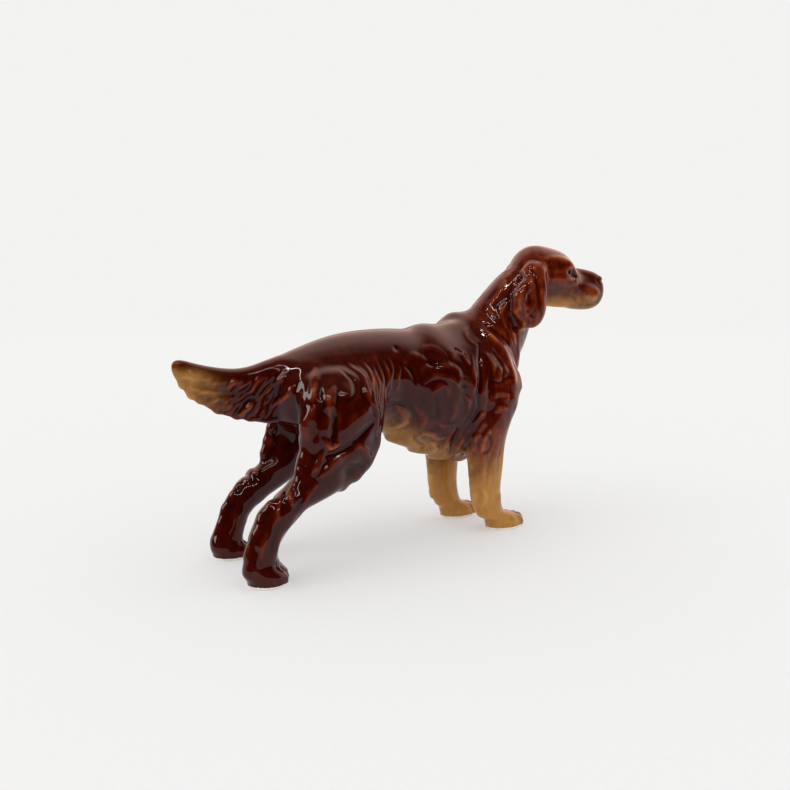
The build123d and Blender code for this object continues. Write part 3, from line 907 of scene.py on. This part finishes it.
class Nodes:
    """The node tree of a material or a world, with short ways to add and link nodes."""

    def __init__(self, holder, output="ShaderNodeOutputMaterial"):
        holder.use_nodes = True
        self.tree = holder.node_tree
        self.tree.nodes.clear()
        self.output = self.add(output)

    def add(self, kind, inputs=None, **settings):
        """A new node; each input is a value, or a socket to link from."""
        node = self.tree.nodes.new(kind)
        for key, value in settings.items():
            setattr(node, key, value)
        for key, value in (inputs or {}).items():
            if isinstance(value, bpy.types.NodeSocket):
                self.tree.links.new(value, node.inputs[key])
            else:
                node.inputs[key].default_value = value
        return node

    def show(self, shader):
        self.tree.links.new(shader.outputs[0], self.output.inputs["Surface"])

    def attribute(self, name):
        return self.add("ShaderNodeAttribute", attribute_name=name).outputs["Fac"]

    def place(self):
        return self.add("ShaderNodeTexCoord").outputs["Object"]

    def noise(self, scale, detail, roughness, vector=None):
        inputs = {"Scale": scale, "Detail": detail, "Roughness": roughness}
        inputs["Vector"] = vector or self.place()
        return self.add("ShaderNodeTexNoise", inputs).outputs["Fac"]

    def math(self, operation, a, b):
        return self.add("ShaderNodeMath", {0: a, 1: b}, operation=operation).outputs[0]

    def about(self, value, middle, factor):
        """How far the value is from middle, times factor."""
        return self.math("MULTIPLY", self.math("SUBTRACT", value, middle), factor)

    def fit(self, value, start, end, low=0.0, high=1.0, **settings):
        """Low up to start and high from end."""
        inputs = {"Value": value, "From Min": start, "From Max": end, "To Min": low, "To Max": high}
        return self.add("ShaderNodeMapRange", inputs, **settings).outputs[0]

    def colors(self, factor, stops):
        """A color ramp through (position, color) stops."""
        node = self.add("ShaderNodeValToRGB", {"Fac": factor})
        elements = node.color_ramp.elements
        while len(elements) < len(stops):
            elements.new(0.5)
        for element, (position, color) in zip(elements, stops):
            element.position = position
            element.color = (*color, 1)
        return node.outputs["Color"]

    def mix(self, factor, a, b):
        """From color a to color b."""
        return self.add("ShaderNodeMix", {0: factor, 6: a, 7: b}, data_type="RGBA").outputs[2]

    def mix_values(self, factor, a, b):
        return self.add("ShaderNodeMix", {0: factor, 2: a, 3: b}, data_type="FLOAT").outputs[0]

    def bump(self, height, strength, distance):
        inputs = {"Height": height, "Strength": strength, "Distance": distance}
        return self.add("ShaderNodeBump", inputs).outputs["Normal"]


# Colors of the glazes from where they pool to where they run thin, and of the bare porcelain
BROWN_GLAZE = ((0.15, (0.018, 0.0008, 0.0003)), (0.42, (0.042, 0.0024, 0.0007)),
               (0.60, (0.085, 0.0085, 0.0022)), (0.78, (0.16, 0.026, 0.006)), (1.0, (0.33, 0.10, 0.026)))
TAN_GLAZE = ((0.10, (0.10, 0.022, 0.003)), (0.36, (0.27, 0.10, 0.016)), (0.54, (0.46, 0.22, 0.050)),
             (0.80, (0.60, 0.36, 0.12)), (1.0, (0.68, 0.50, 0.26)))
DARK_GLAZE = (0.006, 0.003, 0.002, 1)
PORCELAIN = ((0.35, (0.86, 0.83, 0.77)), (0.62, (0.78, 0.73, 0.65)), (0.8, (0.62, 0.52, 0.40)))
STREAK_SCALE = (420, 420, 95)         # per metre: streaks run down the figure


def glaze_material():
    """A glossy glaze that is dark where it pools and runs thin and amber over the ridges."""
    material = bpy.data.materials.new("glaze")
    n = Nodes(material)
    thin = n.math("ADD", n.attribute("ridge"), n.about(n.noise(170, 4, 0.6), 0.5, 0.45))
    stretched = n.add("ShaderNodeMapping", {"Vector": n.place(), "Scale": STREAK_SCALE}).outputs[0]
    thin = n.math("ADD", thin, n.about(n.noise(1.0, 3, 0.55, stretched), 0.5, 0.5))
    warm = n.math("ADD", thin, n.about(n.attribute("warm"), 0.6, 0.36))
    even = n.math("ADD", n.about(thin, 0.5, 0.3), 0.5)
    tan_part = n.attribute("tan")
    between = n.math("MULTIPLY", tan_part, n.math("SUBTRACT", 1.0, tan_part))
    blotch = n.about(n.noise(90, 4, 0.65), 0.5, 5.0)
    patch = n.math("ADD", tan_part, n.math("MULTIPLY", between, blotch))
    patch = n.add("ShaderNodeClamp", {"Value": patch}).outputs[0]
    color = n.mix(patch, n.colors(warm, BROWN_GLAZE), n.colors(even, TAN_GLAZE))
    color = n.mix(n.attribute("dark"), color, DARK_GLAZE)
    n.show(n.add("ShaderNodeBsdfPrincipled", {
        "Base Color": color, "Roughness": n.fit(n.noise(45, 3, 0.5), 0, 1, 0.30, 0.45),
        "Specular IOR Level": 0.0, "Coat Weight": 1.0, "Coat Roughness": 0.012, "Coat IOR": 1.34,
        "Coat Normal": n.bump(n.noise(380, 1, 0.4), 0.012, 0.0005),
    }))
    return material


def porcelain_material():
    """Bare fired porcelain: off-white, matt and slightly grainy, a little stained by the glaze."""
    material = bpy.data.materials.new("bare_porcelain")
    n = Nodes(material)
    stain = n.colors(n.noise(260, 4, 0.6), PORCELAIN)
    grain = n.bump(n.noise(2600, 2, 0.6), 0.25, 0.0002)
    n.show(n.add("ShaderNodeBsdfPrincipled", {"Base Color": stain, "Roughness": 0.75, "Normal": grain}))
    return material


def make_pieces():
    """The skin cut into the figure's pieces, each in place of its node."""
    glaze = glaze_material()
    porcelain = porcelain_material()
    owner = face_owners()
    for index, name in enumerate([*GLAZED, *SOLE_NODES]):
        if name in GLAZED:
            piece = make_piece(f"{name}_glazed", owner == index, glaze)
        else:
            piece = make_piece(f"{name}_bare", owner == index, porcelain)
        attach(piece, "root")
        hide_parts(name)


masks = paint_masks()
make_pieces()

# Studio
back = (Vector(EYE) - Vector(AIM)).normalized()
across = Vector((-back.y, back.x, 0)).normalized()
if across.dot(Vector((1, 0, 0))) < 0:
    across.negate()
up = Vector((0, 0, 1))
level_back = Vector((back.x, back.y, 0))

# Lengths in metres
LAMPS_AIM = Vector((0, 0, 0.06))
SKY_STRENGTH, SKY_ANGLE = 0.5, math.radians(50)
TABLE_RADIUS, TABLE_CORNERS = 2.4, 64
FADE_START, FADE_END = 0.85, 1.7      # how far out the table fades
FADE_SHIFT = 0.6                      # how much sooner it fades towards the camera
TABLE_GLOW = 0.34                     # the share of the table's tone that no shadow reaches
BOARD = ((0.3, (0.80, 0.797, 0.79)), (0.7, (0.83, 0.827, 0.82)))
PAPER, GLOW = (0.893, 0.89, 0.882, 1), (0.885, 0.882, 0.874, 1)
MIRRORED_TINT = (1, 0.68, 0.58, 1)    # what the room looks like in the glaze
WHITE = (1, 1, 1, 1)


def reflected_lamp(name, place, size, radiance):
    """A rectangular lamp that is only seen mirrored in the glaze; radiance is its face's brightness."""
    data = bpy.data.lights.new(name, "AREA")
    data.shape = "RECTANGLE"
    data.size, data.size_y = size
    data.energy = radiance * math.pi * size[0] * size[1]
    lamp = add_object(name, data)
    lamp.location = LAMPS_AIM + place
    lamp.rotation_euler = (LAMPS_AIM - lamp.location).to_track_quat("-Z", "Y").to_euler()
    lamp.visible_diffuse = False


def make_lamps():
    """Two strips and a window, seen in the glaze, and a soft sky that only casts light."""
    reflected_lamp("strip", 0.5 * back + 0.95 * up - 0.1 * across, (2.2, 0.008), 110)
    reflected_lamp("low_strip", 0.85 * back + 0.66 * up + 0.1 * across, (1.1, 0.008), 90)
    reflected_lamp("window", -1.0 * across + 0.30 * back + 0.5 * up, (0.42, 0.55), 7.0)
    data = bpy.data.lights.new("sky", "SUN")
    data.energy = SKY_STRENGTH
    data.angle = SKY_ANGLE
    sky = add_object("sky", data)
    sky.rotation_euler = (0.75 * up - 0.6 * across + 0.35 * back).to_track_quat("Z", "Y").to_euler()
    sky.visible_glossy = False


def table_material():
    """Pale and matt, and fading to nothing far out."""
    material = bpy.data.materials.new("table")
    n = Nodes(material)
    shifted = n.add("ShaderNodeVectorMath", {0: n.place(), 1: level_back * FADE_SHIFT}).outputs["Vector"]
    distance = n.add("ShaderNodeVectorMath", {0: shifted}, operation="LENGTH").outputs["Value"]
    fade = n.fit(distance, FADE_START, FADE_END, interpolation_type="SMOOTHSTEP")
    board = n.add("ShaderNodeBsdfDiffuse", {"Color": n.colors(n.noise(700, 3, 0.6), BOARD)}).outputs[0]
    glow = n.add("ShaderNodeEmission", {"Color": GLOW, "Strength": 1.0}).outputs[0]
    lit = n.add("ShaderNodeMixShader", {0: TABLE_GLOW, 1: board, 2: glow}).outputs[0]
    clear = n.add("ShaderNodeBsdfTransparent").outputs[0]
    n.show(n.add("ShaderNodeMixShader", {0: fade, 1: lit, 2: clear}))
    return material


def make_table():
    """A round table that fades out into the backdrop."""
    mesh = bpy.data.meshes.new("table")
    turns = [2 * math.pi * corner / TABLE_CORNERS for corner in range(TABLE_CORNERS)]
    rim = [(TABLE_RADIUS * math.cos(turn), TABLE_RADIUS * math.sin(turn), 0) for turn in turns]
    mesh.from_pydata(rim, [], [range(TABLE_CORNERS)])
    mesh.materials.append(table_material())
    add_object("table", mesh)


def make_world():
    """A pale backdrop behind the figure, a dark room behind the camera, and a dim ceiling."""
    world = bpy.data.worlds.new("studio")
    bpy.context.scene.world = world
    n = Nodes(world, "ShaderNodeOutputWorld")
    world.cycles.sampling_method = "NONE"
    direction = n.add("ShaderNodeTexCoord").outputs["Generated"]
    height = n.add("ShaderNodeSeparateXYZ", {0: direction}).outputs["Z"]
    ahead = n.add("ShaderNodeVectorMath", {0: direction, 1: -level_back.normalized()},
                  operation="DOT_PRODUCT").outputs["Value"]
    ray = n.add("ShaderNodeLightPath").outputs
    ceiling = n.fit(height, 0.5, 0.9, 0.012, 0.22)
    backdrop = n.fit(ahead, 0.90, 0.985, 1.9, 0.6)
    room = n.mix_values(n.fit(ahead, 0.0, 0.35), ceiling, backdrop)
    level = n.mix_values(ray["Is Diffuse Ray"], room, 1.0)
    level = n.mix_values(ray["Is Camera Ray"], level, 1.0)
    tint = n.mix(ray["Is Diffuse Ray"], MIRRORED_TINT, WHITE)
    tint = n.mix(ray["Is Camera Ray"], tint, PAPER)
    n.show(n.add("ShaderNodeBackground", {"Color": tint, "Strength": level}))


make_lamps()
make_table()
make_world()
bpy.context.scene.view_settings.view_transform = "Standard"
